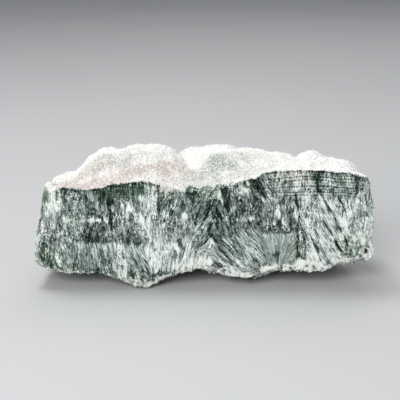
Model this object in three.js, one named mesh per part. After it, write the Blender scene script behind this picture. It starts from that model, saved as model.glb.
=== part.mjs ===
// A raw block of seraphinite, the green and white fibrous variety of clinochlore. It is one natural stone:
// split flat along its fibres on the front, and rough weathered crust everywhere else. It rests on four
// knobs of its underside. Millimetres, +Z up: X runs along the stone, Y from the split face to the back.

import * as THREE from 'three';
import { ImprovedNoise } from 'three/addons/math/ImprovedNoise.js';
import { mergeVertices } from 'three/addons/utils/BufferGeometryUtils.js';

// Overall size before the skin is broken and roughened.
const LENGTH = 167;
const DEPTH = 72;
const FRONT = -DEPTH / 2;

// The grid that is drawn over the stone: columns along it, rows back through it, courses up it.
const COLUMNS = 56;
const ROWS = 18;
const COURSES = 14;

// How far the corners are rounded, from 0, square, to 1, a full round.
const PLAN_ROUNDING = 0.8;
const SECTION_ROUNDING = 0.75;
const FRONT_CORNER_ROUNDING = 0.12;
const BACK_CORNER_ROUNDING = 0.85;

// The rounding of the back starts at the shoulder and that of the ends at the cheek, as shares of the
// half size.
const SHOULDER = -0.15;
const CHEEK = 0.74;

// The ends lean in as they rise, and the split face turns back over a short strip beside each end.
const LEFT_LEAN = 6.5;
const RIGHT_LEAN = 3.2;
const TURN_START = 0.94;
const TURN_DEPTH = 4;

// The rim where the split face meets the top crust, from left to right, as x and height.
const TOP_RIM = [
  [-84, 54], [-68, 51], [-53, 49.5], [-41, 53], [-28, 54.5], [-16, 51], [-3, 49],
  [8, 51.5], [18, 54.5], [26, 56], [31, 59.5], [50, 60], [66, 59], [84, 57],
];

// The foot of the split face: a knob that hangs lowest left of the middle, a small arch, and a long
// shallow lift. The underside leaves it within a short run.
const FOOT_RUN = 16;
const FOOT = [
  [-84, 16], [-73, 8.5], [-60, 7.5], [-49, 7.5], [-40, 3.5], [-28, 0.5], [-19, 3.5], [-10, 5.5],
  [4, 9.5], [12, 6], [22, 4.5], [31, 7.5], [57, 8], [68, 12], [84, 16],
];

// The ridge of the top crust behind the rim: two broad humps with a cleft between them, then a small one.
const RIDGE = [
  [-84, 48], [-67, 53], [-56, 59.5], [-44, 62], [-27, 63], [-17, 61.5], [-11, 57.5], [-5, 60.5],
  [8, 63], [24, 61.5], [40, 59.5], [48, 57.5], [56, 60], [64, 58], [76, 57.5], [84, 52],
];
const RIDGE_Y = 8;
const CLIMB_POWER = 1.8;
const BACK_DROP = 3;

// The humps and the cleft run from front to back at a slant, which swings from one side to the other
// along the stone.
const FOLD_SLANT = 0.26;
const FOLD_SWING = 28;
const FOLD_START = 0.35;

// Lumps and hollows of the top crust: centre x and y, radius along x and y, height.
const CRUST_LUMPS = [
  { x: -41, y: -7, rx: 12, ry: 11, height: 2.2 },
  { x: -24, y: -1, rx: 9, ry: 12, height: 1.2 },
  { x: -66, y: -14, rx: 11, ry: 12, height: -1.4 },
  { x: -8, y: -6, rx: 4, ry: 15, height: -1.8 },
  { x: 5, y: -2, rx: 11, ry: 10, height: 1.4 },
  { x: 16, y: -19, rx: 12, ry: 8, height: -1.6 },
  { x: 34, y: -8, rx: 16, ry: 10, height: 1 },
  { x: 57, y: 2, rx: 9, ry: 9, height: 0.8 },
  { x: -30, y: 24, rx: 15, ry: 8, height: 2 },
  { x: 30, y: 23, rx: 17, ry: 8, height: -2.6 },
  { x: 2, y: 25, rx: 9, ry: 9, height: 1.6 },
];

// The underside: a shallow uneven belly, and the knobs that carry the stone, as centre x and y, radius, and
// how far each would reach below the bed.
const BELLY_HEIGHT = 5.5;
const BELLY_SWELL = 1.5;
const BELLY_SWELL_SIZE = 13;
const KNOBS = [
  { x: -28, y: -23, radius: 15, reach: 1.8 },
  { x: 22, y: -14, radius: 13, reach: 1.6 },
  { x: -47, y: 12, radius: 17, reach: 2.8 },
  { x: 42, y: 12, radius: 17, reach: 3.2 },
];

// Broken flats on the back and the ends: the way each one faces, and how deep it is cut into the rounded
// stone.
const FLATS = [
  { facing: [-0.55, 0.8, 0.25], cut: 4.5 },
  { facing: [0.1, 0.95, 0.3], cut: 3.5 },
  { facing: [0.62, 0.76, -0.15], cut: 5 },
  { facing: [-0.1, 0.85, -0.5], cut: 4 },
  { facing: [-0.94, 0.25, 0.2], cut: 3 },
  { facing: [0.95, 0.2, -0.2], cut: 2.5 },
  { facing: [0.5, 0.55, 0.67], cut: 3.5 },
  { facing: [-0.35, 0.6, 0.72], cut: 3.5 },
  { facing: [0.45, 0.5, -0.75], cut: 4 },
];

// Roughness of the weathered skin: round bumps of two sizes, shallow on the crust and deeper on the knobbly
// underside, the ends and the back. They grow over a short run behind the split face, which itself only
// swells a little and breaks up beside the ends.
const COARSE_BUMP = 19;
const COARSE_SHARE = 0.65;
const FINE_BUMP = 8;
const BUMP_SINK = 0.35;
const CRUST_ROUGHNESS = 1.5;
const SIDE_ROUGHNESS = 3;
const ROUGHNESS_RUN = 10;
const FACE_SWELL = 0.5;
const FACE_SWELL_WIDTH = 22;
const FACE_SWELL_HEIGHT = 30;
const FACE_BREAK = 0.6;
const FACE_BREAK_RUN = [LENGTH / 2 - 12, LENGTH / 2 - 4];

const { clamp, lerp, smoothstep } = THREE.MathUtils;
const noise = new ImprovedNoise();

/** A smooth outline through [x, height] points, returned as a function that gives the height at any x. */
function outline(points) {
  const curve = new THREE.SplineCurve(points.map(([x, z]) => new THREE.Vector2(x, z)));
  const stations = curve.getPoints(points.length * 20);
  return (x) => {
    const next = Math.max(1, stations.findIndex((point, i) => point.x > x || i === stations.length - 1));
    const from = stations[next - 1];
    const to = stations[next];
    return lerp(from.y, to.y, clamp((x - from.x) / (to.x - from.x), 0, 1));
  };
}

const rimHeight = outline(TOP_RIM);
const footHeight = outline(FOOT);
const ridgeHeight = outline(RIDGE);

/** Height of the top crust, which climbs from the rim to the ridge and eases down to the back. */
function crustHeight(x, y) {
  const climb = clamp((y - FRONT) / (RIDGE_Y - FRONT), 0, 1);
  const arch = 1 - (1 - climb) ** CLIMB_POWER;
  const fold = x + FOLD_SLANT * (y - RIDGE_Y) * Math.cos(x / FOLD_SWING + FOLD_START);
  let height = lerp(rimHeight(x), ridgeHeight(fold), arch);
  height -= BACK_DROP * clamp((y - RIDGE_Y) / (DEPTH / 2 - RIDGE_Y), 0, 1) ** 2;
  for (const lump of CRUST_LUMPS) {
    const distance = ((x - lump.x) / lump.rx) ** 2 + ((y - lump.y) / lump.ry) ** 2;
    height += lump.height * Math.exp(-distance) * smoothstep(climb, 0, 0.25);
  }
  return height;
}

/** Height of the underside: the foot of the split face in front, then the belly that the knobs hang from. */
function bellyHeight(x, y) {
  const depth = smoothstep(y, FRONT, FRONT + FOOT_RUN);
  let height = BELLY_HEIGHT + BELLY_SWELL * noise.noise(x / BELLY_SWELL_SIZE, y / BELLY_SWELL_SIZE, 7.5);
  for (const knob of KNOBS) {
    const distance = ((x - knob.x) ** 2 + (y - knob.y) ** 2) / knob.radius ** 2;
    height -= (BELLY_HEIGHT + knob.reach) * Math.exp(-distance * distance);
  }
  return lerp(footHeight(x), height, depth);
}

/** Rounds the corner between two directions: a and b run from 0 to 1 towards it. */
function roundCorner(a, b, rounding) {
  return [a * Math.sqrt(1 - (rounding * b * b) / 2), b * Math.sqrt(1 - (rounding * a * a) / 2)];
}

/** Round bumps with creases between them, from 0 in a crease to about 1 on a bump. */
function bumps(point, size) {
  return Math.abs(noise.noise(point.x / size, point.y / size, point.z / size)) * 1.8;
}

/** Takes a point of the cube from -1 to 1 to its place on the smooth stone. */
function placeOnStone(u, v, w) {
  const back = Math.max(0, (v - SHOULDER) / (1 - SHOULDER));
  const end = Math.max(0, (Math.abs(u) - CHEEK) / (1 - CHEEK));

  const [along, planBack] = roundCorner(u, back, PLAN_ROUNDING);
  const [roundBack, up] = roundCorner(planBack, w, SECTION_ROUNDING);
  const cornerRounding = lerp(FRONT_CORNER_ROUNDING, BACK_CORNER_ROUNDING, (v + 1) / 2);
  const [roundEnd, height] = roundCorner(end, up, cornerRounding);

  const shorten = end > 0 ? (CHEEK + (1 - CHEEK) * roundEnd) / Math.abs(u) : 1;
  const lean = (u < 0 ? LEFT_LEAN : RIGHT_LEAN) / (LENGTH / 2);
  const rise = (height + 1) / 2;
  const x = (along * shorten * (1 - lean * rise) * LENGTH) / 2;

  const straight = back > 0 ? SHOULDER + (1 - SHOULDER) * roundBack : v;
  const turn = clamp((Math.abs(u) - TURN_START) / (1 - TURN_START), 0, 1) ** 2;
  const y = (straight * DEPTH) / 2 + (turn * TURN_DEPTH * (1 - v)) / 2;

  return new THREE.Vector3(x, y, lerp(bellyHeight(x, y), crustHeight(x, y), rise));
}

/** Cuts the broken flats: what stands beyond one is pressed back onto it, except on the split face. */
function breakFlats(points, isFace) {
  for (const flat of FLATS) {
    const facing = new THREE.Vector3(...flat.facing).normalize();
    const reach = Math.max(...points.map((point) => point.dot(facing))) - flat.cut;
    points.forEach((point, i) => {
      const beyond = point.dot(facing) - reach;
      if (beyond > 0 && !isFace[i]) {
        point.addScaledVector(facing, -beyond);
      }
    });
  }
}

/** Roughens one point of the skin along the way that it faces. */
function roughen(point, outward, onFace, onTop) {
  if (onFace) {
    const beside = smoothstep(Math.abs(point.x), ...FACE_BREAK_RUN);
    point.y += FACE_SWELL * noise.noise(point.x / FACE_SWELL_WIDTH, point.z / FACE_SWELL_HEIGHT, 4.5);
    point.y += FACE_BREAK * beside * bumps(point, FINE_BUMP);
    return;
  }
  const run = smoothstep(point.y, FRONT, FRONT + ROUGHNESS_RUN);
  const depth = run * (onTop ? CRUST_ROUGHNESS : SIDE_ROUGHNESS);
  const relief = lerp(bumps(point, FINE_BUMP), bumps(point, COARSE_BUMP), COARSE_SHARE);
  point.addScaledVector(outward, depth * (relief - BUMP_SINK));
}

/** The whole stone as one closed skin, with the knobs of the underside pressed flat where they carry it. */
function seraphiniteStone() {
  const skin = new THREE.BoxGeometry(2, 2, 2, COLUMNS, ROWS, COURSES);
  skin.deleteAttribute('normal');
  skin.deleteAttribute('uv');
  const stone = mergeVertices(skin);
  const position = stone.getAttribute('position');

  const points = [];
  const isFace = [];
  const isTop = [];
  for (let i = 0; i < position.count; i += 1) {
    const cube = new THREE.Vector3().fromBufferAttribute(position, i);
    isFace.push(cube.y === -1);
    isTop.push(cube.z === 1);
    points.push(placeOnStone(cube.x, cube.y, cube.z));
  }

  breakFlats(points, isFace);
  points.forEach((point, i) => position.setXYZ(i, point.x, point.y, point.z));
  stone.computeVertexNormals();
  const normal = stone.getAttribute('normal');
  points.forEach((point, i) => {
    roughen(point, new THREE.Vector3().fromBufferAttribute(normal, i), isFace[i], isTop[i]);
    position.setXYZ(i, point.x, point.y, Math.max(0, point.z));
  });
  stone.computeVertexNormals();

  stone.computeBoundingBox();
  const middle = stone.boundingBox.getCenter(new THREE.Vector3());
  stone.translate(-middle.x, -middle.y, 0);

  const material = new THREE.MeshStandardMaterial({ color: 0x71857b, roughness: 0.6, metalness: 0 });
  const mesh = new THREE.Mesh(stone, material);
  mesh.name = 'seraphinite_stone';
  return mesh;
}

const group = new THREE.Group();
group.add(seraphiniteStone());

export default group;
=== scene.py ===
"""A block of raw seraphinite, split open along its feathery fibres and resting on its foot."""

import math

import bmesh
import bpy
import numpy as np
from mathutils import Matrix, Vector, noise


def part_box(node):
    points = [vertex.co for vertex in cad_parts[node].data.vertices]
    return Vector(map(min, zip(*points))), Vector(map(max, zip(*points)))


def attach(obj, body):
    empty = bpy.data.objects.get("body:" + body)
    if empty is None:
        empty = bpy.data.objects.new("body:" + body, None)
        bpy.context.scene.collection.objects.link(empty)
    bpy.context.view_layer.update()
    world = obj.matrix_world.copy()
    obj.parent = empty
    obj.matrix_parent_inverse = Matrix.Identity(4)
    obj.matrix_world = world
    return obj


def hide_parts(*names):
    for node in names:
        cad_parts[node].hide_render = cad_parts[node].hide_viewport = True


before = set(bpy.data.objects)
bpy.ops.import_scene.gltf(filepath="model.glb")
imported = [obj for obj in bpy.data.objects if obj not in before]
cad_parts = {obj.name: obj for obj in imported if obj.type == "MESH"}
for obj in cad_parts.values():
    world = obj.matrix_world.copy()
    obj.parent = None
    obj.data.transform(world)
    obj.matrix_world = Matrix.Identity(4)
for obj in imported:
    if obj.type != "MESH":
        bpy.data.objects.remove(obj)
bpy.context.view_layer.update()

MM = 0.001

# ---------------------------------------------------------------------------------------
# The studio. A plain pale floor and three soft square lamps: one overhead and a little to the
# left, one in front at the upper left, and a large one high behind. The camera stands straight
# in front and looks down 15 degrees.

LOOK_AT = Vector((-1.7, 0, 35.5)) * MM
CAMERA_RISE = math.radians(15)
CAMERA_DISTANCE = 520 * MM
CAMERA_LENS = 91.1
ROOM_TINT = (0.90, 0.92, 0.95)
ROOM_GLOW = 0.37

scene = bpy.context.scene
scene.view_settings.view_transform = "Standard"

eye = bpy.data.cameras.new("camera")
eye.lens = CAMERA_LENS
eye.sensor_width = 36
eye.clip_start = 0.01
camera = bpy.data.objects.new("camera", eye)
scene.collection.objects.link(camera)
away = Vector((0, -math.cos(CAMERA_RISE), math.sin(CAMERA_RISE)))
camera.location = LOOK_AT + away * CAMERA_DISTANCE
camera.rotation_euler = (-away).to_track_quat("-Z", "Y").to_euler()
scene.camera = camera


def soft_lamp(name, place, side, watts):
    """Hangs a square lamp at a place in millimetres and aims it at the stone."""
    lamp = bpy.data.lights.new(name, "AREA")
    lamp.size = side * MM
    lamp.energy = watts
    holder = bpy.data.objects.new(name, lamp)
    scene.collection.objects.link(holder)
    holder.location = Vector(place) * MM
    holder.rotation_euler = (LOOK_AT - holder.location).to_track_quat("-Z", "Y").to_euler()


soft_lamp("overhead_lamp", (-260, 160, 900), 400, 4.4)
soft_lamp("front_lamp", (-300, -900, 500), 420, 8.6)
soft_lamp("back_lamp", (200, 1000, 1200), 900, 5.0)

scene.world = bpy.data.worlds.new("room")
scene.world.use_nodes = True
glow = scene.world.node_tree.nodes["Background"]
glow.inputs["Color"].default_value = (*ROOM_TINT, 1)
glow.inputs["Strength"].default_value = ROOM_GLOW


class Wire:
    """A socket of a node tree, so that node maths reads as ordinary sums."""

    def __init__(self, tree, socket=None):
        self.tree = tree
        self.socket = socket

    def node(self, kind, settings=None, feeds=None, out=0):
        """Adds a node, makes its settings, feeds its sockets and gives one output."""
        made = self.tree.nodes.new(kind)
        for name, value in (settings or {}).items():
            if name == "stops":
                ramp = made.color_ramp
                for place, colour in value[1:-1]:
                    ramp.elements.new(place)
                for element, (place, colour) in zip(ramp.elements, value):
                    element.position = place
                    element.color = (*colour, 1)
            else:
                setattr(made, name, value)
        for key, value in (feeds or {}).items():
            port = self.port(made.inputs, key)
            if isinstance(value, Wire):
                self.tree.links.new(value.socket, port)
            elif port.type == "RGBA":
                port.default_value = (*value, 1)
            elif port.type == "VECTOR" and isinstance(value, (int, float)):
                port.default_value = (value, value, value)
            else:
                port.default_value = value
        return Wire(self.tree, self.port(made.outputs, out))

    @staticmethod
    def port(sockets, key):
        if isinstance(key, int):
            return sockets[key]
        return next(s for s in sockets if key in (s.identifier, s.name))

    def sum(self, operation, first, second):
        """Math for values and Vector Math where a vector or a colour takes part."""
        kinds = [t.socket.type for t in (first, second) if isinstance(t, Wire)]
        plain = all(kind not in ("VECTOR", "RGBA") for kind in kinds)
        kind = "ShaderNodeMath" if plain else "ShaderNodeVectorMath"
        return self.node(kind, {"operation": operation}, {0: first, 1: second})

    def __add__(self, other):
        return self.sum("ADD", self, other)

    def __radd__(self, other):
        return self.sum("ADD", other, self)

    def __sub__(self, other):
        return self.sum("SUBTRACT", self, other)

    def __rsub__(self, other):
        return self.sum("SUBTRACT", other, self)

    def __mul__(self, other):
        return self.sum("MULTIPLY", self, other)

    def __rmul__(self, other):
        return self.sum("MULTIPLY", other, self)


def fade(value, start, end):
    """0 before start and 1 after end, with a soft step between them."""
    settings = {"interpolation_type": "SMOOTHSTEP"}
    return value.node("ShaderNodeMapRange", settings, {"Value": value, 1: start, 2: end})


def mottle(place, scale, detail=2.0, roughness=0.5):
    """Soft noise from 0 to 1 over a place, in lumps of about 1 / scale."""
    feeds = {"Vector": place, "Scale": scale, "Detail": detail, "Roughness": roughness}
    return place.node("ShaderNodeTexNoise", {}, feeds, "Fac")


def blend(factor, first, second):
    """A colour between two colours."""
    feeds = {"Factor_Float": factor, "A_Color": first, "B_Color": second}
    return factor.node("ShaderNodeMix", {"data_type": "RGBA"}, feeds, "Result_Color")


def finish(name):
    """A new material, with its shader and a wire to start its maths from."""
    material = bpy.data.materials.new(name)
    material.use_nodes = True
    shader = material.node_tree.nodes["Principled BSDF"]
    return material, shader, Wire(material.node_tree)


def feed(paint, shader, socket, wire):
    paint.tree.links.new(wire.socket, shader.inputs[socket])


FLOOR_GREY = (0.50, 0.505, 0.515)
FLOOR_PALE = (0.54, 0.545, 0.55)
pale_floor, shader, paint = finish("pale_floor")
here = paint.node("ShaderNodeTexCoord", out="Object")
feed(paint, shader, "Base Color", blend(mottle(here, 3.0), FLOOR_GREY, FLOOR_PALE))
shader.inputs["Roughness"].default_value = 0.75
shader.inputs["Specular IOR Level"].default_value = 0.2

FLOOR_REACH = 4.0
FLOOR_DROP = 0.05 * MM
slab = bpy.data.meshes.new("floor")
corners = [(-1, -1), (1, -1), (1, 1), (-1, 1)]
places = [(FLOOR_REACH * across, FLOOR_REACH * deep, -FLOOR_DROP) for across, deep in corners]
slab.from_pydata(places, [], [(0, 1, 2, 3)])
slab.materials.append(pale_floor)
floor = bpy.data.objects.new("floor", slab)
scene.collection.objects.link(floor)

# ---------------------------------------------------------------------------------------
# The stone. One natural block of clinochlore: a split face of silky fibre sprays in front,
# a pale sugary crust over the top and the foot, and weathered fibres on the ends and back.
# It grew as one piece and was broken out and split, with nothing added.

cad_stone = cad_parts["seraphinite_stone"]
low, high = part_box("seraphinite_stone")
HALF_LONG = (high.x - low.x) / 2 / MM
HALF_DEEP = (high.y - low.y) / 2 / MM
RIM_SHARPNESS = 0.72
FACING = 0.62


def settle(piece):
    """Makes a piece's evaluated mesh its own, and takes its modifiers off."""
    graph = bpy.context.evaluated_depsgraph_get()
    worked = bpy.data.meshes.new_from_object(piece.evaluated_get(graph), depsgraph=graph)
    piece.modifiers.clear()
    piece.data = worked
    worked.name = piece.name


# The frame's block is merged into one skin and its broken front rim is kept crisp.
skin = bmesh.new()
skin.from_mesh(cad_stone.data)
bmesh.ops.remove_doubles(skin, verts=skin.verts, dist=0.01 * MM)
bmesh.ops.join_triangles(
    skin, faces=skin.faces, angle_face_threshold=math.pi, angle_shape_threshold=math.pi
)
crease = skin.edges.layers.float.new("crease_edge")
for edge in skin.edges:
    facing = [face.normal.y < -FACING for face in edge.link_faces]
    if any(facing) and not all(facing):
        edge[crease] = RIM_SHARPNESS
rough_mesh = bpy.data.meshes.new("seraphinite_body")
skin.to_mesh(rough_mesh)
skin.free()
stone = bpy.data.objects.new("seraphinite_body", rough_mesh)
scene.collection.objects.link(stone)
rounding = stone.modifiers.new("rounding", "SUBSURF")
rounding.levels = 2
rounding.render_levels = 2
settle(stone)

# The split face gets twice as many points across, because its fibres run mostly downwards.
skin = bmesh.new()
skin.from_mesh(stone.data)
skin.normal_update()
level = [
    edge
    for edge in skin.edges
    if any(face.normal.y < -FACING for face in edge.link_faces)
    and abs(edge.verts[0].co.x - edge.verts[1].co.x) > abs(edge.verts[0].co.z - edge.verts[1].co.z)
]
bmesh.ops.subdivide_edges(skin, edges=level, cuts=1, use_grid_fill=True)
skin.to_mesh(stone.data)
skin.free()

count = len(stone.data.vertices)
spots = np.empty(count * 3, np.float32)
stone.data.vertices.foreach_get("co", spots)
spots = spots.reshape(-1, 3).astype(float) / MM
normals = np.empty(count * 3, np.float32)
stone.data.vertex_normals.foreach_get("vector", normals)
normals = normals.reshape(-1, 3).astype(float)

# From here x, y and z are the points' own columns in millimetres, so moving z moves the points.
x, y, z = spots.T
nx, ny, nz = normals.T


def step(value, start, end):
    """0 before start and 1 after end, with a soft step between them."""
    t = np.clip((value - start) / (end - start), 0, 1)
    return t * t * (3 - 2 * t)


def window(value, start, full, fall, end):
    """1 from full to fall and 0 outside start and end, with a soft step at each side."""
    return step(value, start, full) * (1 - step(value, fall, end))


def profile(points):
    """A value for every point of the stone, from given (across, value) pairs in millimetres."""
    places, values = zip(*points)
    return np.interp(x, places, values)


def ripple(size, seed):
    """Smooth wandering values, about -1 to 1, in lumps of this size in millimetres."""
    shift = Vector((seed * 7.3, seed * 3.1, seed * 5.7))
    return np.array([noise.noise(Vector(spot) / size + shift) for spot in spots]) * 1.8


front = step(-ny, 0.45, 0.75)
top = step(nz, 0.15, 0.55) * (1 - front)
under = step(-nz, 0.15, 0.55) * (1 - front)
side = np.clip(1 - front - top - under, 0, 1)

# The crest's own steps and swells: an apron at the left, the boulder's shoulder and the humps
# to its right. Over the left of the face the crust's edge stands up as a thin lip.
crest = profile([
    (-83, 1.5), (-78, 2.6), (-75, 0.8), (-73, -0.8), (-70.5, -2.0), (-66, -2.3), (-63, -2.5),
    (-60, -1.0), (-57, -0.1), (-54, 0.8), (-51, 1.5), (-48, 0.9), (-42, -1.2), (-38, 0.2),
    (-33, 0.5), (-30, -0.4), (-27, -0.2), (-23, 0.4), (-18, -0.2), (-15, 0), (-10, 0.7),
    (-6, 0.8), (0, 0), (12, 0), (17, -0.8), (24, 0), (34, 0.2), (39, 0.7), (45, 0), (48.5, -1.5),
    (51, 0.6), (54, 0), (61, 0), (68, -0.4), (73, 0.8), (77, 0.8), (80, 0),
])
lip = profile([(-80, 0), (-72, 0.8), (-64, 1.0), (-50, 1.2), (-45, 0.8), (-38, 0)])
z += crest * top * step(z, 40, 52) * step(y, -35, -24)
z += lip * step(z, 42, 50) * (1 - step(y, -33, -22))

# Distance round the stone: along the face, round the right end, the back and the left end.
facing_y = np.abs(ny) >= np.abs(nx)
girth = np.where(
    facing_y,
    np.where(ny < 0, x, 3 * HALF_LONG + 2 * HALF_DEEP - x),
    np.where(nx > 0, HALF_LONG + HALF_DEEP + y, -HALF_LONG - HALF_DEEP - y),
)
run = np.stack(
    [
        np.where(facing_y, np.where(ny < 0, 1, -1), 0),
        np.where(facing_y, 0, np.where(nx > 0, 1, -1)),
        np.zeros(count),
    ],
    axis=1,
)

# Each spray: the middle of the fan across and up, how far its fibres lean to the right on
# their way down (degrees), half its height and half its width, how far above its middle the
# fibres meet (below it if negative), how pale it is from 0 to 1, how teal it is, and how
# long and silky its fibres are.
SPRAYS = [
    (-80, 34, -4, 18, 3, 150, 0.66, 0.0, 0.1),
    (-71.5, 46, 1, 8, 4, 150, 0.92, 0.1, 0.4),
    (-71, 30, 2, 8, 5, 90, 0.56, 0.0, 0.2),
    (-77, 17, -14, 8, 5, 60, 0.40, 0.2, 0.0),
    (-64, 48, 3, 5, 5, 120, 0.36, 0.2, 0.1),
    (-58, 42, 3, 9, 6, 120, 0.46, 0.3, 0.1),
    (-64, 33, 4, 9, 7, 120, 0.50, 0.3, 0.1),
    (-57, 17, 4, 8, 11, 90, 0.47, 0.5, 0.5),
    (-68, 15, 16, 8, 5, 60, 0.56, 0.4, 0.2),
    (-56, 7, 2, 4, 14, 60, 0.30, 0.5, 0.0),
    (-51, 30, 0, 7, 7, 60, 0.33, 0.0, 0.0),
    (-37, 50, 3, 5.5, 13, 160, 0.26, 1.0, 0.5),
    (-38, 39, 4, 8, 7, 60, 0.56, 0.1, 0.1),
    (-33, 26, 4, 5, 6, 60, 0.44, 0.1, 0.2),
    (-41, 15, 8, 9, 5, 70, 0.64, 0.2, 0.6),
    (-32, 13, 26, 9, 6, 50, 0.56, 0.3, 0.7),
    (-25.5, 40, 0, 16, 4, 160, 0.74, 0.0, 0.5),
    (-20, 16, 2, 9, 8, 90, 0.82, 0.0, 0.9),
    (-15, 43, -12, 8, 6, 50, 0.40, 0.4, 0.1),
    (-16, 31, -6, 6, 7, 60, 0.63, 0.1, 0.3),
    (-7, 36, -14, 8, 5, 60, 0.46, 0.2, 0.3),
    (-6, 18, -10, 9, 6, 60, 0.72, 0.0, 0.8),
    (-21, 6, 4, 2.5, 6, 60, 0.34, 0.2, 0.0),
    (0, 43, -24, 9, 6, 40, 0.30, 0.6, 0.4),
    (0, 30, -36, 8, 5, 40, 0.50, 0.3, 0.6),
    (-1, 21, -40, 7, 4, 40, 0.50, 0.1, 0.7),
    (11, 22, 44, 12, 5, 60, 0.47, 0.2, 0.9),
    (14, 14, 50, 9, 4, 60, 0.62, 0.2, 0.8),
    (10, 35, 22, 8, 6, 40, 0.29, 0.5, 0.4),
    (14, 46, 8, 8, 6, 50, 0.47, 0.1, 0.1),
    (25, 52, 28, 6, 5, 60, 0.32, 0.4, 0.5),
    (31, 48, 30, 9, 5, 60, 0.50, 0.0, 0.5),
    (21, 37, 10, 8, 8, 60, 0.38, 0.0, 0.0),
    (23, 22, 36, 11, 7, 70, 0.50, 0.2, 0.9),
    (36, 21, 2, 9, 9.5, -12, 0.54, 0.2, 1.0),
    (36, 37, 4, 8, 9, 80, 0.44, 0.0, 0.1),
    (41, 50, 2, 9, 9, 120, 0.64, 0.0, 0.4),
    (50, 42, 6, 12, 6, 90, 0.63, 0.1, 0.4),
    (47, 24, 4, 9, 3, 80, 0.46, 0.3, 0.3),
    (54, 20, 24, 12, 6, 60, 0.80, 0.0, 0.9),
    (61, 36, 26, 14, 5, 60, 0.75, 0.0, 0.9),
    (64, 20, 28, 10, 5, 60, 0.70, 0.1, 0.9),
    (54.4, 57, 0, 3.2, 2.4, 60, 0.20, 1.0, 0.5),
    (65, 52, 4, 7, 8, 90, 0.59, 0.3, 0.3),
    (70, 36, 10, 8, 5, 60, 0.70, 0.1, 0.2),
    (72, 22, 18, 7, 5, 60, 0.60, 0.3, 0.1),
    (78, 44, 2, 12, 5, 150, 0.62, 0.2, 0.4),
    (79, 28, 2, 8, 5, 150, 0.74, 0.0, 0.3),
    (79, 16, 4, 6, 4, 60, 0.62, 0.0, 0.1),
]

# Round the ends and the back the sprays stand in three rows, each with its own lean and tint.
SPRAY_SPACING = 11
SPRAY_ROWS = (14, 34, 52)
dice = np.random.default_rng(41)
for place in np.arange(HALF_LONG + 6, 3 * HALF_LONG + 4 * HALF_DEEP - 4, SPRAY_SPACING):
    for height in SPRAY_ROWS:
        reach = dice.uniform(8, 15)
        SPRAYS.append(
            (
                place + dice.uniform(-5, 5),
                height + dice.uniform(-6, 6),
                dice.uniform(-24, 24),
                reach,
                reach * dice.uniform(0.5, 0.8),
                dice.choice([40, 60, 90]),
                dice.uniform(0.40, 0.72),
                dice.uniform(0, 0.35),
                dice.uniform(0, 0.7),
            )
        )

# The left end counts as the last stretch of the way round, past the back.
girth = np.where(girth < -HALF_LONG - 2, girth + 4 * HALF_LONG + 4 * HALF_DEEP, girth)
wander = ripple(7, 1)
nearest = np.full(count, np.inf)
second = np.full(count, np.inf)
weights = np.zeros(count)
shade = np.zeros(count)
teal = np.zeros(count)
silk = np.zeros(count)
own_shade = np.zeros(count)
own_silk = np.zeros(count)
grain = np.zeros((count, 3))
lay = np.zeros((count, 3))

# Each point belongs to its nearest spray: grain is its place across and along those fibres,
# and lay is the way they run.
for number, (middle, height, lean, tall, wide, meet, pale, green, long) in enumerate(SPRAYS):
    lean = math.radians(lean)
    reach = girth - middle
    rise = z - height
    down = math.sin(lean) * reach - math.cos(lean) * rise
    across = math.cos(lean) * reach + math.sin(lean) * rise
    far = (down / tall) ** 2 + (across / wide) ** 2 + 0.3 * wander * math.cos(number * 2.4)
    weight = np.exp(-3 * np.clip(far, 0, 40))
    weights += weight
    shade += weight * pale
    teal += weight * green
    silk += weight * long
    from_meet = abs(meet) + math.copysign(1, meet) * down
    turn = np.arctan2(across, from_meet)
    heading = np.stack([np.sin(turn) * math.copysign(1, meet), np.cos(turn)], axis=1)
    to_side = heading[:, 0] * math.cos(lean) + heading[:, 1] * math.sin(lean)
    to_foot = heading[:, 0] * math.sin(lean) - heading[:, 1] * math.cos(lean)
    ours = far < nearest
    second = np.minimum(second, np.maximum(far, nearest))
    nearest = np.where(ours, far, nearest)
    strand = np.stack([turn * abs(meet), np.hypot(across, from_meet), np.full(count, number * 3.7)], axis=1)
    grain[ours] = strand[ours]
    own_shade[ours] = pale
    own_silk[ours] = long
    way = run * to_side[:, None] + np.array([0, 0, 1]) * to_foot[:, None]
    lay[ours] = way[ours]

# A spray keeps most of its own tone and silk up to its edge, and blends the rest with the next.
BLENDED = 0.4
shade = BLENDED * shade / (weights + 1e-9) + (1 - BLENDED) * own_shade
silk = BLENDED * silk / (weights + 1e-9) + (1 - BLENDED) * own_silk
teal /= weights + 1e-9
seam = 1 - step(second - nearest, 0.0, 0.13)
shade -= 0.19 * seam
lay -= normals * np.sum(lay * normals, axis=1)[:, None]
lay /= np.linalg.norm(lay, axis=1)[:, None] + 1e-9

# The rim under the crust and the foot of the face, read off the block itself.
bins = np.arange(-HALF_LONG + 1, HALF_LONG, 2.0)
face_points = (front > 0.6) & (y < 7 - HALF_DEEP)
column = np.digitize(x, bins + 1)
rim_line = np.array([z[face_points & (column == n)].max(initial=0) for n in range(len(bins))])
foot_line = np.array([z[face_points & (column == n)].min(initial=60) for n in range(len(bins))])
under_rim = np.interp(x, bins, rim_line) - z
over_foot = z - np.interp(x, bins, foot_line)
fray = ripple(2.6, 2)
nuggets = ripple(4.5, 4)
coarse = ripple(9, 3)


def patch(middle, height, reach, rise, blur=0.45):
    """1 inside an oval on the split face and 0 outside it, with a frayed edge."""
    far = np.hypot((x - middle) / reach, (z - height) / rise) + 0.22 * fray
    return (1 - step(far, 1.1 - blur, 1.1)) * front


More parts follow.
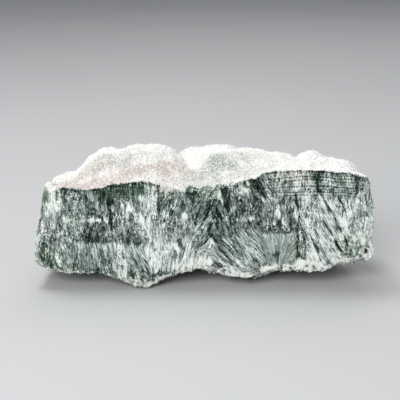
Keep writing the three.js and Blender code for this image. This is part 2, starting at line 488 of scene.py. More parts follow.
def stroke(start, end, width):
    """1 along a straight line on the split face, and how far a fibre can run before it."""
    start, end = np.array(start, float), np.array(end, float)
    way = end - start
    here = np.stack([x, z], axis=1) - start
    share = np.clip(here @ way / (way @ way), 0, 1)
    off = np.linalg.norm(here - share[:, None] * way, axis=1)
    crossing = np.abs(lay[:, 0] * way[1] - lay[:, 2] * way[0]) / np.linalg.norm(way)
    line = 1 - step(off + 0.3 * fray + 0.3 * nuggets, 0.55 * width, 0.95 * width)
    return line * front, np.maximum(off - 0.3 * width, 0) / np.clip(crossing, 0.12, 1)


# Open seams between the sprays, cut in and painted dark as painted shade: both ends, and the width.
CLEFTS = [
    ((-48.6, 51.5), (-44.7, 44.5), 1.7),
    ((-44.7, 44.5), (-44, 29), 0.9),
    ((-21.5, 53), (-21.5, 43), 0.8),
    ((-21.5, 43), (-21.5, 28), 0.5),
    ((0.2, 46), (-3.4, 36), 0.7),
    ((4.6, 43), (-1, 33), 0.5),
    ((6, 41), (12, 31), 0.7),
    ((3, 33), (3.4, 28), 1.4),
    ((3.4, 28), (14, 13), 0.8),
    ((9.8, 50.5), (11.6, 42.5), 2.1),
    ((11.6, 42.5), (13, 33), 0.8),
    ((22, 56), (27.5, 50.5), 1.9),
    ((24.5, 56), (31, 44), 0.9),
    ((44, 48), (46.3, 34), 0.5),
    ((53.8, 55), (55, 49.5), 1.1),
    ((55, 49.5), (51.5, 41), 0.5),
    ((55.4, 49), (62, 38), 0.6),
    ((62, 38), (72, 18), 0.5),
    ((64, 47), (69, 37), 0.5),
    ((57.5, 35), (67.5, 18), 0.45),
    ((51, 28), (57, 16), 0.45),
    ((73, 57), (73, 49), 1.0),
    ((45.6, 31), (45, 20), 0.8),
    ((45.5, 20), (47, 13), 1.5),
]
# Hollows in the face, cut in and painted dark as painted shade, each an oval: across, up,
# half width and half height.
HOLLOWS = [
    (-65, 49, 2.4, 1.6),
    (-56.4, 45, 1.2, 3.0),
    (-54, 31, 2.0, 1.2),
    (-48, 30.5, 1.4, 2.0),
    (-52, 26, 4.2, 1.2),
    (-45, 26, 1.2, 2.4),
    (-62, 9, 2.6, 1.6),
    (-51, 8, 1.8, 2.2),
    (-6, 48.5, 3.1, 3.0),
    (6.5, 10.7, 3.0, 2.0),
    (-11.5, 24, 1.2, 2.4),
    (-13.6, 18, 0.9, 2.2),
    (25, 43.5, 2.3, 2.2),
    (19, 41, 1.4, 1.6),
    (-34.5, 8, 2.2, 2.4),
    (-22, 6.4, 4.2, 1.6),
    (35, 17.6, 1.7, 1.3),
    (38, 44, 1.2, 2.2),
    (47, 15, 2.4, 1.6),
    (67.5, 17, 2.0, 1.4),
]
# Bright broken flakes that stand out of the face, each with a painted shadow just below it.
FLAKES = [
    (-55, 34.8, 2.2, 0.9),
    (-46.7, 35, 1.2, 1.4),
    (-43.8, 29, 1.0, 1.4),
    (-35, 41, 1.2, 2.0),
    (-29.7, 35.6, 1.2, 2.4),
    (-30, 46, 0.9, 1.6),
    (-18.3, 37.7, 1.5, 1.4),
    (-8.6, 37.2, 0.8, 1.9),
    (-66, 35, 1.2, 1.2),
    (20.5, 50, 1.9, 1.4),
    (-53.5, 35.6, 1.5, 0.9),
    (-50.4, 34.9, 1.3, 0.8),
    (-44.2, 41.5, 0.9, 1.6),
    (22.8, 36.2, 1.3, 1.1),
    (35.4, 38.7, 1.1, 1.8),
    (38.5, 33.4, 0.9, 1.4),
    (44.6, 38, 1.0, 2.2),
    (66, 34, 2.0, 2.2),
    (70, 38, 1.6, 1.4),
    (47.5, 13.5, 2.4, 1.9),
    (72.7, 25.8, 1.3, 1.2),
    (4, 25, 0.9, 2.0),
    (7.4, 48.3, 0.6, 2.6),
    (1.5, 12.5, 2.6, 1.6),
]
# An olive stain high on the left end, which dulls the fibres under it.
stain = np.hypot((x + 78.5) / 5.2, (z - 46.5) / 5.5) + 0.2 * fray + 0.25 * nuggets
stain = (1 - step(stain, 0.7, 1.1)) * (1 - step(y, -26, -18))
shade += (0.40 - shade) * 0.8 * stain

# Each mark makes its fibres darker or paler (shade) and digs in or stands out (cut). It also
# says how far a fibre can run before it meets the mark (clear_run), so none crosses a seam.
FREE_RUN = 30.0
cut = np.zeros(count)
dark = np.zeros(count)
clear_run = np.full(count, FREE_RUN)
for start, end, width in CLEFTS:
    line, run_to = stroke(start, end, 1.15 * width)
    clear_run = np.minimum(clear_run, run_to)
    # Painted shade darkens the open seam.
    shade -= 0.7 * line
    dark = np.maximum(dark, line)
    cut += 0.8 * line
for middle, height, reach, rise in HOLLOWS:
    shaded_hole = patch(middle, height, reach, rise, blur=0.25)
    beyond = np.hypot((x - middle) / reach, (z - height) / rise) - 0.9
    clear_run = np.minimum(clear_run, np.maximum(beyond, 0) * min(reach, rise) * 1.3)
    # Painted shade darkens the hollow.
    shade += (0.10 - shade) * 0.75 * shaded_hole
    dark = np.maximum(dark, shaded_hole)
    cut += 0.6 * shaded_hole
for middle, height, reach, rise in FLAKES:
    up = (z - height) / rise
    lozenge = np.abs((x - middle) / reach + 0.4 * up) + np.abs(up) + 0.25 * nuggets + 0.15 * fray
    flake = front * (1 - step(lozenge, 1.1, 1.5))
    clear_run = np.minimum(clear_run, np.abs(lozenge - 1.3) * min(reach, rise) * 1.4 + 0.3)
    # The flake is paler, and a painted shadow darkens a patch just below it.
    shade += 0.72 * flake - 0.34 * patch(middle + 0.3 * reach, height - 1.1 * rise, reach, 0.5 * rise)
    cut -= 0.6 * flake

# A small pit low at the right end, its hole painted dark as painted shade, with a pale ring
# round it, a darker moat round that and a paler corner outside it.
PIT_PLACE = (79.3, 18.9)
far = np.hypot((x - PIT_PLACE[0]) / 2.9, (z - PIT_PLACE[1]) / 2.4) + 0.25 * fray
forward = (front + side) * (1 - step(y, -30, -24))
shaded_pit = forward * (1 - step(far, 0.28, 0.54))
ring = forward * (1 - step(np.abs(far - 0.90), 0.36, 0.62))
moat = forward * (1 - step(np.abs(far - 1.70), 0.1, 0.4))
clear_run = np.where(far < 2, np.minimum(clear_run, 0.4), clear_run)
shade += (0.95 - shade) * 0.85 * ring - 0.9 * shaded_pit - 0.2 * moat
shade += 0.2 * forward * step(x, 79.5, 81.5)
cut += 1.0 * shaded_pit - 0.2 * ring

# Growth bands cross the fibres, strongest in the upper right part of the face.
banding = front * step(x, 24, 34) * step(z, 44, 49) * (1 - 0.7 * step(x, 71, 76))
banding += 0.5 * front * window(-x, 50, 56, 68, 74) * step(z, 27, 33)
banding *= 1 - 0.4 * (1 - step(x, 36, 46))
banding += 0.6 * front * window(x, -47, -44, -27, -23) * step(z, 47, 50)

# Ledges, where the lower fibres stand a little further out and are paler, with a painted
# highlight along the ledge's edge: each one's two ends, and its height at the left and at the right.
LEDGES = [
    (-63, -46, 24.4, 23.6),
    (-43, -29, 23.4, 22.6),
    (28, 45, 28.0, 29.6),
    (65, 70, 34.6, 34.2),
    (74, 84, 36, 36),
]
for start, end, left_height, right_height in LEDGES:
    ledge = left_height + (right_height - left_height) * (x - start) / (end - start) + 0.3 * fray
    drop = ledge - z
    within = front * window(x, start - 1, start + 1, end - 1, end + 1)
    below = step(drop, -0.3, 0.3)
    # Below the ledge the fibres are paler, with a painted highlight in the first 1.4 mm under its edge.
    paler = 0.15 * (1 - step(drop, 1, 9)) + 0.22 * (1 - step(drop, 0.5, 1.4))
    darker = 0.13 * (1 - step(-drop, 1, 6)) + 0.14 * (1 - step(-drop, 0.6, 1.5))
    shade += within * (below * paler - (1 - below) * darker)
    cut -= 0.5 * within * below * (1 - step(drop, 1, 9))
    clear_run = np.where(within > 0.5, np.minimum(clear_run, np.abs(drop) + 0.2), clear_run)

# The foot of the face is drawn up where the block's own line hangs too low, the underside
# behind its right half is tucked up after it, and the left end's lower corner is drawn in.
draw_up = profile([
    (-29, 0), (-25, 0.9), (-21, 1.8), (-2, 2.2), (3, 1.2), (8, 1.6), (13, 0.7), (24, 0.9),
    (36, 1.9), (52, 1.5), (66, 2.2), (71, 1.8), (77, 1.0), (83, 0),
])
draw_up *= (1 - step(over_foot, 1, 10)) * (1 - step(y, -30, -14))
tuck = profile([(56, 0), (65, 2.6), (78, 1.8), (83, 0.4)])
tuck *= (1 - step(z, 9, 16)) * window(y, -34, -28, -10, 6)
z += np.maximum(draw_up, tuck)
x += 1.2 * step(-x, 74, 82) * (1 - step(z, 15, 24))
stone.data.vertices.foreach_set("co", (spots * MM).astype(np.float32).ravel())
stone.data.update()

# The crevice under the crust's edge, cut in and painted dark as painted shade.
shaded_rim_crack = front * (1 - step(np.abs(under_rim - 0.9 + 0.3 * fray), 0.3, 1.0))
shaded_rim_crack *= profile([
    (-72, 0), (-68, 1), (-24, 1), (-20, 0.2), (24, 0.2), (30, 0.5), (76, 0.5), (80, 0),
])
shade -= 0.7 * shaded_rim_crack
cut += 0.8 * shaded_rim_crack

# How far the crust hangs down over the face, how ragged its edge is, and the drips that it
# sends down between the fibres in the middle.
hang = profile([
    (-83, 1), (-76, 1.5), (-73, 3.5), (-67, 0.2), (-23, 0.2), (-20, 3.0), (-8, 0.8), (-3, 0.2),
    (4, 0.2), (12, 1.2), (22, 0.8), (27, 0.3), (76, 0.3), (83, 2),
])
ragged = profile([(-83, 0.7), (-24, 0.6), (-20, 2.2), (22, 1.8), (27, 0.6), (83, 0.8)])
drip = np.array([noise.noise(Vector((across / 1.4, 3.0, up / 7))) for across, up in zip(x, z)])
drip *= 1.8 * window(x, -25, -20, 22, 30)
hanging = front * (1 - step(under_rim + 1.1 * fray + 2.6 * drip, hang - ragged, hang + ragged))
hanging *= 1 - 0.24 * window(x, -24, -20, 24, 30)
dripping = window(x, -23, -19, 22, 30) * (1 - step(under_rim, 2, 8))
hanging = np.maximum(hanging, front * dripping * np.clip(0.24 + 0.2 * fray, 0, 1))

# The crust's broken front edge, and the crust along the foot of the face.
nibble = profile([
    (-24, 0), (-10, 1.0), (-6, 5.0), (5, 5.0), (10, 2.5), (22, 1.5), (28, 1.5), (34, 0.3),
])
bitten = 1 - step(y + HALF_DEEP + 1.6 * fray + 1.0 * nuggets, nibble - 1.6, nibble + 1.6)
hem = profile([
    (-83, 1.0), (-72, 2.2), (-58, 2.6), (-46, 1.4), (-38, 2.8), (-28, 3.4), (-18, 2.6),
    (-8, 2.5), (-1, 3.5), (3, 3.5), (13, 3.2), (28, 3.8), (34, 3.8), (50, 4.8), (57, 1.4),
    (66, 1.8), (74, 2.6), (83, 2.8),
])
hemmed = front * (1 - step(over_foot + 1.4 * fray + 1.6 * nuggets, hem - 1.0, hem + 0.8))
crust = np.clip(top * (1 - 0.8 * bitten) + under + np.maximum(hanging, 0.72 * hemmed), 0, 1)
crust *= (1 - 0.8 * dark) * (1 - 0.9 * stain)

# White knuckles on the foot, the ring round the pit, the white corner outside it, and the brow
# of the underside, where its crust shows from in front.
corner = forward * step(x, 79, 81.5) * window(z, 13, 17, 27, 33)
knuckles = np.maximum(patch(47, 12.6, 2.2, 2.5, blur=0.3), 0.8 * patch(55, 11, 3.6, 4.0))
knuckles = np.maximum(knuckles, 0.9 * patch(31.5, 11, 3.0, 2.2))
knuckles = np.maximum(knuckles, 0.9 * np.maximum(corner, ring))
brow = under * (1 - step(y, -27, -15)) * step(x, -12, 0)
scabs = side * step(0.8 * coarse + 0.6 * fray + 0.045 * (z - 30), 0.25, 0.7) * (1 - stain)
crust = np.maximum(np.maximum(crust, knuckles) * (1 - shaded_pit), 0.74 * scabs)

# Where dark gaps show between the crust's grains.
gaps = (1 - step(over_foot, 2, 7)) * step(nuggets + 0.5 * fray + 0.35 * step(-x, 20, 34), 0.25, 0.8)
worn = hanging * window(x, -24, -19, 22, 28) * (1 - step(x, -9, -4) * 0.4)
gaps = np.maximum(gaps, worn * step(nuggets + fray, -0.1, 0.7))
gaps = np.maximum(gaps, 0.5 * ring * step(nuggets + fray, 0.3, 0.9))

# The room a fibre has between the crust above it, the crust below it and the nearest mark.
room = np.clip(np.minimum(under_rim - hang, over_foot - 0.7 * hem) + 0.3, 0.15, FREE_RUN)
room = np.minimum(room, np.where(front > 0.5, 1.2 * clear_run + 0.35, FREE_RUN))

# Tints of the fibres: where their contrast is calm, and where they are rusty, olive or slaty.
calm = patch(36, 21.5, 10, 8.5) + 0.4 * patch(-36, 49, 10, 4) + 0.5 * patch(-56, 16, 11, 8) + stain
rust = patch(45, 58, 12, 4) + 0.5 * patch(70, 57, 6, 2.5)
olive = stain + 0.7 * patch(-77.5, 18, 3.6, 5) + 0.5 * patch(44, 18, 3, 7)
olive += 0.4 * patch(70, 20, 6, 7) + 0.8 * side * step(coarse, 0.3, 1.0)
slate = patch(-34, 24, 7, 3) + patch(36, 21, 9, 8)
slate += 0.6 * (patch(-22, 32, 6, 9) + patch(22, 24, 7, 7))

# Tints of the crust: where it is blushed, mossy, whiter (partly a painted highlight), or knobbly.
crusty = top + front * (1 - step(under_rim, 4, 8))


def spot(middle, back, reach, deep):
    """1 inside an oval seen from above on the crust and 0 outside it, with a worn edge."""
    far = np.hypot((x - middle) / reach, (y - back) / deep) + 0.35 * coarse + 0.15 * nuggets
    return crusty * (1 - step(far, 0.35, 1.25))


blush = spot(-52, -32, 25, 8) + 0.8 * spot(-60, -20, 14, 9)
blush += 0.9 * spot(-14, -21, 10, 9) + 0.5 * spot(-38, -24, 15, 7)
mossy = spot(9, -17, 14, 10) + 0.45 * spot(-44, -15, 14, 8) + 0.3 * spot(22, -28, 16, 7)
mossy += 0.22 * spot(-4, -30, 20, 9) + 0.3 * spot(0, 20, 60, 12) + 0.75 * side * crust
mossy += 0.5 * (under + hemmed) * (1 - 0.7 * np.maximum(knuckles, brow))
# Whiter crust: a painted highlight over the back and the right of the top, and real white crust at the left
# end, the sides, the foot, the knuckles and the brow.
lofty = np.maximum(step(y + 5 * coarse + 2 * nuggets, -17, 3), step(x + 6 * coarse, 22, 42))
lofty = crusty * np.maximum(lofty, 0.8 * step(-x + 4 * coarse, 60, 74))
lofty = np.maximum(lofty, 0.7 * hemmed * step(x, -12, 0))
lofty = np.maximum(lofty, 0.6 * side * crust)
lofty = np.maximum(lofty, np.maximum(knuckles, 0.9 * brow))
knobs = under + hemmed + knuckles + 0.26 * side * crust

# What the trees and the materials read: shares from 0 to 1, then the fibres' tone, the room
# and the cut in millimetres, each point's place in its spray, and the way its fibres run.
SHARES = {
    "teal": teal,
    "silk": silk,
    "olive": olive,
    "rust": rust,
    "slate": slate,
    "calm": calm,
    "banding": banding,
    "blush": blush,
    "mossy": mossy,
    "lofty": lofty,
    "gaps": gaps,
    "knobs": knobs,
    "crust": crust,
    "front": front,
    "side": side,
    "seam": seam,
}
fields = {name: np.clip(share, 0, 1) for name, share in SHARES.items()}
fields["shade"] = np.clip(shade, 0, 1.2)
fields["room"] = room
fields["cut"] = cut
fields["grain"] = grain
fields["lay"] = lay
for name, values in fields.items():
    vector = values.ndim == 2
    layer = stone.data.attributes.new(name, "FLOAT_VECTOR" if vector else "FLOAT", "POINT")
    layer.data.foreach_set("vector" if vector else "value", values.astype(np.float32).ravel())


def field(tree_wire, name, vector=False):
    """Reads one of the stone's fields inside a geometry tree."""
    kind = {"data_type": "FLOAT_VECTOR" if vector else "FLOAT"}
    return tree_wire.node("GeometryNodeInputNamedAttribute", kind, {"Name": name}, "Attribute")


def growth(name, sizes):
    """A geometry tree with named sizes: gives the tree, its wires and its end node."""
    tree = bpy.data.node_groups.new(name, "GeometryNodeTree")
    tree.interface.new_socket("Geometry", in_out="INPUT", socket_type="NodeSocketGeometry")
    for label, size in sizes.items():
        whole = isinstance(size, int)
        kind = "NodeSocketInt" if whole else "NodeSocketFloat"
        tree.interface.new_socket(label, in_out="INPUT", socket_type=kind).default_value = size
    tree.interface.new_socket("Geometry", in_out="OUTPUT", socket_type="NodeSocketGeometry")
    start = tree.nodes.new("NodeGroupInput")
    wires = {socket.name: Wire(tree, socket) for socket in start.outputs if socket.name}
    return tree, wires, tree.nodes.new("NodeGroupOutput")


def grow(piece, tree, **sizes):
    """Runs a geometry tree on a piece with its own sizes, and keeps what it makes."""
    work = piece.modifiers.new(tree.name, "NODES")
    work.node_group = tree
    for item in tree.interface.items_tree:
        if item.item_type == "SOCKET" and item.in_out == "INPUT":
            wanted = item.name.lower().replace(" ", "_")
            if wanted in sizes:
                work[item.identifier] = sizes[wanted]
    settle(piece)


def keep_inside(piece, margin):
    """Holds every point this far inside the block's own box, but lets it reach the floor."""
    points = np.empty(len(piece.data.vertices) * 3, np.float32)
    piece.data.vertices.foreach_get("co", points)
    inner = np.array(low) + margin
    inner[2] = 0.01 * MM
    points = np.clip(points.reshape(-1, 3), inner, np.array(high) - margin)
    piece.data.vertices.foreach_set("co", points.ravel())
    piece.data.update()


RELIEF = {
    "Sink": 0.35 * MM,
    "Bundle depth": 0.9 * MM,
    "Fibre depth": 0.5 * MM,
    "Hummock height": 4.0 * MM,
    "Lump height": 3.2 * MM,
    "Crumb height": 1.6 * MM,
    "Grain height": 0.6 * MM,
    "Knob height": 1.6 * MM,
}
relief, size, end = growth("stone_relief", RELIEF)
start = size["Geometry"]
here = start.node("GeometryNodeInputPosition")
normal = start.node("GeometryNodeInputNormal")
fibres = field(start, "grain", vector=True)
is_front = field(start, "front")
is_crust = field(start, "crust")
is_side = field(start, "side")
bundle = start.node(
    "ShaderNodeTexVoronoi", {}, {"Vector": fibres * (0.42, 0.09, 1.0), "Scale": 1.0}, "Color"
)
bundle = start.node("ShaderNodeSeparateXYZ", {}, {"Vector": bundle}, "X")
strand = mottle(fibres * (0.95, 0.16, 1.0), 1.0)
hummock = mottle(here, 48.0, 1.0)
lump = mottle(here, 110.0)
crumb = mottle(here, 300.0, 3.0, 0.6)
sugar = mottle(here, 700.0, 1.0)
knob = start.node(
    "ShaderNodeTexVoronoi", {"feature": "SMOOTH_F1"}, {"Vector": here, "Scale": 330.0}, "Distance"
)
fibrous = (1.0 - is_crust) * fade(is_front + is_side, 0.3, 0.9) * (1.0 - field(start, "seam"))
out = (bundle - 0.5) * size["Bundle depth"] * fibrous
out = out + (strand - 0.5) * size["Fibre depth"] * fibrous
rough = fade(is_crust + is_side, 0.2, 0.9)
out = out + (hummock - 0.5) * size["Hummock height"] * rough
out = out + (lump - 0.5) * size["Lump height"] * rough
out = out + (crumb - 0.5) * size["Crumb height"] * is_crust
out = out + (sugar - 0.5) * size["Grain height"] * is_crust
out = out + (0.4 - knob) * size["Knob height"] * field(start, "knobs")
out = out - field(start, "cut") * MM - size["Sink"]
moved = start.node("GeometryNodeSetPosition", {}, {"Geometry": start, "Offset": normal * out})
smooth = start.node("GeometryNodeSetShadeSmooth", {}, {"Geometry": moved})
relief.links.new(smooth.socket, end.inputs[0])
grow(stone, relief)
keep_inside(stone, 0.4 * MM)


def noted(paint, name, vector=False):
    """Reads one of the stone's fields in a material."""
    out = "Vector" if vector else "Fac"
    return paint.node("ShaderNodeAttribute", {"attribute_name": name}, out=out)


DEEP = (0.003, 0.009, 0.005)
FOREST = (0.029, 0.055, 0.041)
SAGE = (0.172, 0.208, 0.191)
MIST = (0.440, 0.484, 0.458)
FROST = (0.825, 0.858, 0.826)
GREENS = [(0.0, DEEP), (0.22, FOREST), (0.48, SAGE), (0.72, MIST), (0.98, FROST)]
BAND_SPACING = 1.4 * MM
BAND_SWAY = 3.2 * MM
# How strong each cast over the greens is, and what it multiplies them by.
CASTS = {
    "teal": (0.8, (0.82, 1.02, 0.92)),
    "olive": (0.7, (0.84, 0.86, 0.64)),
    "rust": (0.7, (1.06, 0.97, 0.92)),
    "slate": (0.4, (0.95, 0.98, 1.06)),
}


def fibre_colour(paint, spread):
    """Seraphinite's greens, from near black in the seams to silver white on the fibres."""
    fibres = noted(paint, "grain", vector=True)
    here = paint.node("ShaderNodeTexCoord", out="Object")
    shade = noted(paint, "shade")
    silk = noted(paint, "silk")

    def cloth(across, along, detail=1.0, shift=0.0):
        return mottle(fibres * (across, along, 1.0) + shift, 1.0, detail)

    def cells(across, along):
        place = fibres * (across, along, 1.0)
        cell = paint.node("ShaderNodeTexVoronoi", {}, {"Vector": place, "Scale": 1.0}, "Color")
        return paint.node("ShaderNodeSeparateXYZ", {}, {"Vector": cell}, "X")

    streak = cloth(0.9, 0.15, 3.0)
    broken = cloth(2.1, 0.65)
    hair = broken + (cloth(1.9, 0.17) - broken) * fade(silk, 0.15, 0.65)
    chip = mottle(here, 1150.0, 2.0, 0.7)
    cloud = mottle(here, 210.0)
    torn = fade(mottle(here, 150.0), 0.40, 0.60) * 1.25 + 0.15
    slit = fade(cloth(1.8, 0.24, shift=31.0), 0.60, 0.67) * (torn * 0.5 + 0.5)
    glint = fade(cloth(1.8, 0.48, shift=57.0), 0.60, 0.67) * (torn * 0.5 + 0.5)
    tone = shade + 0.062 + (cells(0.40, 0.12) - 0.5) * 0.32 + (streak - 0.5) * (silk * 0.3 + 0.66)
    tone = tone + (cells(1.3, 0.46) - 0.5) * (0.36 - silk * 0.20) + (hair - 0.5) * (silk * 0.35 + 0.75)
    tone = tone + (cells(2.2, 1.4) - 0.5) * (0.48 - silk * 0.26) * torn
    tone = tone + (chip - 0.5) * (0.9 - silk * 0.5) * torn + (cloud - 0.5) * 0.34 + spread
    tone = tone - slit * 0.46 + glint * 0.32
    tone = shade + (tone - shade) * (1.0 - noted(paint, "calm") * 0.45)

    # The growth bands: arched lines of two beats, broken where the fibres are dark.
    across = paint.node("ShaderNodeSeparateXYZ", {}, {"Vector": here}, "X")
    height = Wire(paint.tree, across.socket.node.outputs["Z"])
    reach = paint.node("ShaderNodeMath", {"operation": "ABSOLUTE"}, {0: across}) - 50 * MM
    arch = reach * reach * 3.0
    sway = (mottle(here, 60.0, 3.0) - 0.5) * BAND_SWAY
    level = (height + arch + sway) * (2 * math.pi / BAND_SPACING)
    sine = {"operation": "SINE"}
    beat = paint.node("ShaderNodeMath", sine, {0: level * 0.62 + 1.0})
    line = paint.node("ShaderNodeMath", sine, {0: level}) + beat * 0.5
    banding = noted(paint, "banding")
    tone = tone - line * banding * 0.06
    tone = tone - fade(line, 0.40, 1.05) * banding * fade(hair + streak, 0.7, 1.15) * 0.36

    colour = paint.node("ShaderNodeValToRGB", {"stops": GREENS}, {"Fac": tone}, "Color")
    for name, (strength, tint) in CASTS.items():
        colour = blend(noted(paint, name) * strength, colour, colour * tint)
    return colour, tone


CHALK = (0.84, 0.84, 0.82)
ROSE = (0.670, 0.594, 0.566)
STONE_GREY = (0.660, 0.634, 0.592)
MOSS = (0.530, 0.580, 0.535)
GAP = (0.030, 0.042, 0.034)
GRAIN_SHADOW = (0.36, 0.37, 0.36)
PIT_SHADOW = (0.30, 0.33, 0.30)


def crust_colour(paint):
    """The sugary crust: white on its crests, partly painted highlight, blushed at the left, mossy in its
    hollow.
    """
    here = paint.node("ShaderNodeTexCoord", out="Object")
    cloud = mottle(here, 130.0, 5.0, 0.7)
    speck = mottle(here, 1250.0, 2.0, 0.75)
    blush = noted(paint, "blush")
    mossy = noted(paint, "mossy")
    worn = fade(cloud, 0.38, 0.66)
    low = blend(worn * 0.5 + 0.3, CHALK, STONE_GREY)
    low = blend(blush * (worn * 0.45 + 0.6), low, ROSE)
    low = blend(mossy * (worn * 0.6 + 0.4), low, MOSS)
    # Whiter where the crust is white, and with a painted highlight over the crest.
    whitened_and_highlit = fade(noted(paint, "lofty") + (cloud - 0.5) * 1.2, 0.30, 0.90)
    colour = blend(whitened_and_highlit * 0.85, low, CHALK)
    grainy = fade(speck, 0.38, 0.60) * (blush * 0.24 + mossy * 0.50 + 0.13)
    colour = blend(grainy, colour, colour * GRAIN_SHADOW)
    pitted = fade(speck, 0.60, 0.67) * (blush * 0.4 + mossy * 0.85 + 0.16)
    colour = blend(pitted, colour, colour * PIT_SHADOW)
    return blend(noted(paint, "gaps") * fade(speck, 0.30, 0.55), colour, GAP), speck


def skin_colour(paint, spread):
    """Fibre greens and crust white, with a ragged line between them."""
    greens, tone = fibre_colour(paint, spread)
    whites, speck = crust_colour(paint)
    here = paint.node("ShaderNodeTexCoord", out="Object")
    fringe = mottle(here, 420.0, 4.0, 0.75)
    crusted = fade(noted(paint, "crust") + (fringe - 0.5) * 2.6, 0.40, 0.60)
    return blend(crusted, greens, whites), crusted, tone, speck


split_stone, shader, paint = finish("split_stone")
skin_tint, crusted, tone, speck = skin_colour(paint, 0.0)
feed(paint, shader, "Base Color", skin_tint)
feed(paint, shader, "Roughness", crusted * 0.36 + 0.44)
shader.inputs["Specular IOR Level"].default_value = 0.22
height = tone * (1.0 - crusted) + speck * crusted
grit = {"Height": height, "Strength": 0.6, "Distance": 0.25 * MM}
feed(paint, shader, "Normal", paint.node("ShaderNodeBump", {}, grit, "Normal"))
stone.data.materials.clear()
stone.data.materials.append(split_stone)
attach(stone, "root")
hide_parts("seraphinite_stone")

# ---------------------------------------------------------------------------------------
# The fibres of the split face. Chlorite blades, most about half a millimetre wide, each a thin
# three-sided sliver that lies along its spray and stands a little proud where the split ran
# from one to the next. A sparser growth of shorter ones covers the weathered ends and back.

BLADES = {
    "Per square metre": 3.3e6,
    "Shortest": 0.8 * MM,
    "Longest": 8.0 * MM,
    "Narrowest": 0.32 * MM,
    "Widest": 1.25 * MM,
    "Thickness": 0.55 * MM,
    "Lift": 0.14 * MM,
    "Tilt": 0.13,
    "Seed": 5,
}


def scatter(start, density, seed):
    """Points strewn over a surface at a density, and the surface's normal at each."""
    feeds = {"Mesh": start, "Density": density, "Seed": seed}
    points = start.node("GeometryNodeDistributePointsOnFaces", {}, feeds, "Points")
    return points, Wire(points.tree, points.socket.node.outputs["Normal"])


def chance(start, least, most, seed):
    """A number between two limits, drawn for each point."""
    feeds = {"Min_001": least, "Max_001": most, "Seed": seed}
    return start.node("FunctionNodeRandomValue", {"data_type": "FLOAT"}, feeds, "Value_001")


def tag(geometry, name, value, vector=False):
    """Stores a value on a geometry under a name."""
    kind = {"data_type": "FLOAT_VECTOR"} if vector else {}
    feeds = {"Geometry": geometry, "Name": name, "Value": value}
    return geometry.node("GeometryNodeStoreNamedAttribute", kind, feeds)


def plant(points, shape, turned, scale):
    """Puts a real copy of a shape on every point, turned and stretched to its own size."""
    feeds = {"Points": points, "Instance": shape, "Rotation": turned, "Scale": scale}
    laid = points.node("GeometryNodeInstanceOnPoints", {}, feeds)
    return points.node("GeometryNodeRealizeInstances", {}, {"Geometry": laid})


def close(tree, end, geometry, material):
    """Ends a tree with flat faces and a material."""
    flat = geometry.node("GeometryNodeSetShadeSmooth", {}, {"Geometry": geometry, "Shade Smooth": False})
    done = geometry.node("GeometryNodeSetMaterial", {}, {"Geometry": flat, "Material": material})
    tree.links.new(done.socket, end.inputs[0])


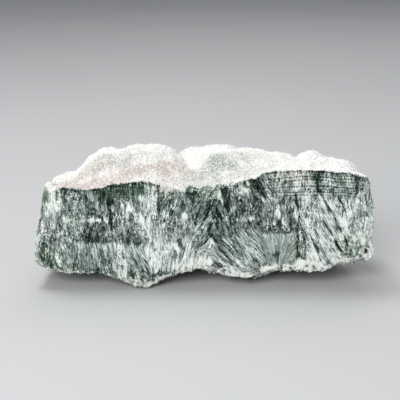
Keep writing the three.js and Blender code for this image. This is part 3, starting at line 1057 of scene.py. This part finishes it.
def blade_tree(name, material, where):
    """Grows blades over the part of the stone that a field marks."""
    tree, size, end = growth(name, BLADES)
    start = size["Geometry"]
    silk = field(start, "silk")
    lay = field(start, "lay", vector=True)
    room = field(start, "room")
    bare = fade(1.0 - field(start, "crust"), 0.12, 0.4) * fade(field(start, where), 0.5, 0.8)
    bare = bare * (1.0 - fade(field(start, "cut"), 0.2, 0.45)) * fade(room, 0.2, 0.7)
    points, surface = scatter(start, bare * size["Per square metre"], size["Seed"])

    # Each blade lies along its spray, tilted a little up or down, and rolled on its own length.
    along = lay + surface * chance(start, -1.0, 1.0, 11) * size["Tilt"]
    turned = start.node(
        "FunctionNodeAxesToRotation",
        {"primary_axis": "Z", "secondary_axis": "X"},
        {"Primary Axis": along, "Secondary Axis": surface},
    )
    roll = start.node("ShaderNodeCombineXYZ", {}, {"Z": chance(start, -0.5, 0.5, 12)})
    roll = start.node("FunctionNodeEulerToRotation", {}, {0: roll})
    turned = start.node(
        "FunctionNodeRotateRotation", {"rotation_space": "LOCAL"}, {"Rotation": turned, "Rotate By": roll}
    )

    # Silky sprays have longer, finer blades, and none runs past the room it has.
    long = chance(start, 0.0, 1.0, 13)
    long = long * long * (silk * 0.62 + 0.38) * (size["Longest"] - size["Shortest"]) + size["Shortest"]
    long = long.sum("MINIMUM", long, room * 1.6 * MM)
    wide = chance(start, 0.0, 1.0, 14)
    wide = wide * wide * (1.0 - silk * 0.5) * (size["Widest"] - size["Narrowest"]) + size["Narrowest"]
    thick = size["Thickness"] * (1.0 - silk * 0.6)
    scale = start.node("ShaderNodeCombineXYZ", {}, {"X": thick, "Y": wide, "Z": long})
    blade = start.node(
        "GeometryNodeMeshCone",
        {"fill_type": "NGON"},
        {"Vertices": 3, "Radius Top": 0.36, "Radius Bottom": 0.66, "Depth": 1.0},
        "Mesh",
    )
    blade = start.node("GeometryNodeTransform", {}, {"Geometry": blade, "Translation": (0, 0, -0.5)})
    lift = surface * chance(start, -1.5, 1.0, 15) * size["Lift"]
    points = start.node("GeometryNodeSetPosition", {}, {"Geometry": points, "Offset": lift})

    # A blade keeps its seat's place in the spray, so the pattern carries on along its length.
    here = start.node("GeometryNodeInputPosition")
    cross = {"operation": "CROSS_PRODUCT"}
    dot = {"operation": "DOT_PRODUCT"}
    points = tag(points, "own", chance(start, -1.0, 1.0, 16))
    points = tag(points, "seat", here, vector=True)
    across = start.node("ShaderNodeVectorMath", cross, {0: surface, 1: along})
    points = tag(points, "across", across, vector=True)
    blades = plant(points, blade, turned, scale)
    reach = (here - field(start, "seat", vector=True)) * (1 / MM)
    across = field(start, "across", vector=True)
    aside = start.node("ShaderNodeVectorMath", dot, {0: reach, 1: across}, "Value")
    ahead = start.node("ShaderNodeVectorMath", dot, {0: reach, 1: lay}, "Value")
    shift = start.node("ShaderNodeCombineXYZ", {}, {"X": aside, "Y": ahead})
    blades = tag(blades, "grain", field(start, "grain", vector=True) + shift, vector=True)

    # Its tone is the stone's under it, so that seams and hollows show through the blades.
    below = {"Mesh": start, "Value": field(start, "shade")}
    blades = tag(blades, "shade", start.node("GeometryNodeSampleNearestSurface", {}, below, "Value"))
    close(tree, end, blades, material)
    return tree


def from_stone(name, tree, **sizes):
    """Adds the piece that a tree grows on the stone's surface."""
    piece = bpy.data.objects.new(name, stone.data.copy())
    scene.collection.objects.link(piece)
    grow(piece, tree, **sizes)
    keep_inside(piece, 0.02 * MM)
    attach(piece, "root")


silky_fibre, shader, paint = finish("silky_fibre")
skin_tint, crusted, _, _ = skin_colour(paint, noted(paint, "own") * 0.12)
feed(paint, shader, "Base Color", skin_tint)
feed(paint, shader, "Roughness", crusted * 0.3 + 0.42)
shader.inputs["Specular IOR Level"].default_value = 0.22
from_stone("split_fibres", blade_tree("blade_growth", silky_fibre, "front"))
from_stone(
    "weathered_fibres",
    blade_tree("weathered_growth", silky_fibre, "side"),
    per_square_metre=1.4e6,
    shortest=1.5 * MM,
    longest=6.0 * MM,
    widest=1.2 * MM,
    thickness=0.6 * MM,
    seed=9,
)

# ---------------------------------------------------------------------------------------
# The grains of the crust. Coarse white crystals, mostly under a millimetre, that weathering
# left standing over the top and, larger and knobblier, round the foot and underneath.

GRAINS = {
    "Per square metre": 1.8e6,
    "Smallest": 0.5 * MM,
    "Largest": 1.5 * MM,
    "Seed": 3,
}


def grain_tree(name, material, where):
    """Grows small crystals over the crust, as thickly as a rule for the place says."""
    tree, size, end = growth(name, GRAINS)
    start = size["Geometry"]
    open_crust = fade(field(start, "crust"), 0.4, 0.8) * where(start)
    points, surface = scatter(start, open_crust * size["Per square metre"], size["Seed"])
    crystal = start.node("GeometryNodeMeshUVSphere", {}, {"Segments": 4, "Rings": 2, "Radius": 0.5}, "Mesh")

    def three(least, most, seed):
        feeds = {"Min": least, "Max": most, "Seed": seed}
        return start.node("FunctionNodeRandomValue", {"data_type": "FLOAT_VECTOR"}, feeds, "Value")

    spin = start.node("FunctionNodeEulerToRotation", {}, {0: three(0.0, 6.283, 21)})
    across = chance(start, 0.0, 1.0, 23)
    across = across * across * (size["Largest"] - size["Smallest"]) + size["Smallest"]
    points = tag(points, "own", chance(start, -1.0, 1.0, 24))
    crystals = plant(points, crystal, spin, three(0.6, 1.2, 22) * across)
    close(tree, end, crystals, material)
    return tree


sugar_grain, shader, paint = finish("sugar_grain")
whites, speck = crust_colour(paint)
spread = noted(paint, "mossy") * 0.22 + noted(paint, "blush") * 0.14 + 0.12
feed(paint, shader, "Base Color", whites * (1.0 + noted(paint, "own") * spread))
feed(paint, shader, "Roughness", 0.55 + speck * 0.3)
from_stone(
    "crust_grains",
    grain_tree("crust_growth", sugar_grain, lambda start: 1.0 - fade(field(start, "knobs"), 0.2, 0.6)),
)
FOOT_DARK = (0.045, 0.062, 0.050)
FOOT_GREEN = (0.30, 0.34, 0.30)
FOOT_WHITE = (1.03, 1.07, 1.04)
knobby_foot, shader, paint = finish("knobby_foot")
whites, speck = crust_colour(paint)
here = paint.node("ShaderNodeTexCoord", out="Object")
clump = mottle(here, 330.0)
uneven = noted(paint, "own") * 0.45 + (speck - 0.5) * 1.4 + (clump - 0.5) * 4.5
darker = blend(fade(uneven, -0.9, -0.2), FOOT_DARK, FOOT_GREEN)
bright = fade(uneven + noted(paint, "lofty") * 0.8, -0.3, 0.4)
feed(paint, shader, "Base Color", blend(bright, darker, whites * FOOT_WHITE))
feed(paint, shader, "Roughness", 0.5 + speck * 0.3)
from_stone(
    "foot_nodules",
    grain_tree("nodule_growth", knobby_foot, lambda start: fade(field(start, "knobs"), 0.3, 0.7)),
    per_square_metre=0.9e6,
    smallest=0.6 * MM,
    largest=2.4 * MM,
    seed=8,
)
